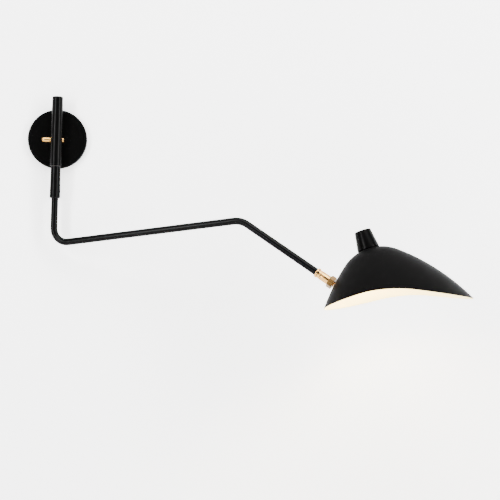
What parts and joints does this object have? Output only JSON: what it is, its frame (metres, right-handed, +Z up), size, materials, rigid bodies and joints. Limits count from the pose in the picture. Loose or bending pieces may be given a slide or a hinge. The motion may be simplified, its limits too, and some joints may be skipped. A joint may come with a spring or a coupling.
{
  "type": "swing arm wall sconce",
  "caption": "Swing arm wall light with a round wall plate, upright post, bent tubular arm, brass ball swivel and a long-lipped dome shade under a tapered cap.",
  "frame": {"origin": "middle of the wall bracket's back face, on the wall and at the wall plate's centre", "axes": "+Z up, +Y into the wall, -Y out into the room, +X to the right of a person who faces the wall; the arm is at its rest swing, out to the right"},
  "size_m": [0.8582, 0.3939, 0.4122],
  "materials": {
    "black_paint": "satin",
    "cap_paint": "semi-gloss",
    "shade_paint": "satin outside, matt white inside",
    "zinc_steel": "zinc plated",
    "spring_steel": "bright",
    "green_screw": "dyed plating",
    "polished_brass": "polished and lacquered",
    "aged_brass": "brushed, darker",
    "bronze_bush": "sintered, oiled",
    "contact_brass": "plain",
    "nickel_cap": "nickel plated",
    "cable_sheath": "smooth",
    "nylon": "plain",
    "dark_nylon": "plain",
    "terminal_plastic": "moulded",
    "switch_plastic": "moulded",
    "holder_plastic": "moulded",
    "white_ring": "moulded",
    "opal_globe": "opal",
    "bulb_plastic": "smooth",
    "board_aluminium": "printed white"
  },
  "bodies": {
    "wall_bracket": {"wall_plate": "black_paint", "mounting_strap": "zinc_steel", "plate_side_screws": "zinc_steel", "earth_screw": "green_screw", "terminal_block": "terminal_plastic", "terminal_screws": "zinc_steel", "post_tube": "black_paint", "post_cap": "black_paint", "post_spacers": "black_paint", "post_studs": "zinc_steel", "stud_washers": "zinc_steel", "stud_nuts": "zinc_steel", "lower_bush": "bronze_bush", "upper_bush": "bronze_bush", "feed_cable": "cable_sheath", "switch_body": "switch_plastic", "switch_bush": "polished_brass", "switch_cap_nut": "polished_brass"},
    "switch": {"switch_knob": "polished_brass", "switch_shaft": "polished_brass"},
    "arm": {"pivot_spindle": "zinc_steel", "stop_pin": "zinc_steel", "spindle_collar": "zinc_steel", "collar_screw": "zinc_steel", "thrust_washer": "dark_nylon", "sleeve": "black_paint", "sleeve_screws": "zinc_steel", "arm_tube": "black_paint", "arm_cable": "cable_sheath", "brass_collar": "polished_brass", "spigot_nut": "zinc_steel"},
    "swivel_housing": {"joint_barrel": "polished_brass", "friction_spring": "spring_steel", "ball_seat": "nylon", "hex_nut": "aged_brass"},
    "swivel_ball": {"swivel_ball": "polished_brass", "neck_cable": "cable_sheath", "neck_lock_nut": "zinc_steel"},
    "shade": {"shade_shell": "shade_paint", "outer_neck_washer": "nylon", "inner_neck_washer": "nylon", "lamp_cap": "cap_paint", "cap_ring_nut": "white_ring", "cap_screw": "cap_paint", "lampholder": "holder_plastic", "holder_screw_shell": "contact_brass", "holder_contact": "contact_brass", "bulb_globe": "opal_globe", "bulb_collar": "bulb_plastic", "led_board": "board_aluminium", "bulb_screw_cap": "nickel_cap", "bulb_end_contact": "nickel_cap", "lamp_lead": "cable_sheath"}
  },
  "joints": [
    {"name": "arm_swing", "type": "hinge", "parent": "wall_bracket", "child": "arm", "pos_m": [0, -0.026, -0.057], "axis": [0, 0, -1], "range_deg": [-10, 148]},
    {"name": "switch_turn", "type": "hinge", "parent": "wall_bracket", "child": "switch", "pos_m": [0, -0.026, -0.003], "axis": [1, 0, 0], "range_deg": [0, 90]},
    {"name": "swivel_turn", "type": "hinge", "parent": "arm", "child": "swivel_housing", "pos_m": [0.51701, -0.22239, -0.25721], "axis": [0.792, -0.3009, -0.5312], "range_deg": [-170, 170]},
    {"name": "shade_tilt", "type": "hinge", "parent": "swivel_housing", "child": "swivel_ball", "pos_m": [0.54219, -0.23196, -0.2741], "axis": [0.3551, 0.9348, 0], "range_deg": [-12, 12]},
    {"name": "shade_spin", "type": "hinge", "parent": "swivel_ball", "child": "shade", "pos_m": [0.54219, -0.23196, -0.2741], "axis": [0.792, -0.3009, -0.5312], "range_deg": [-170, 170]}
  ]
}
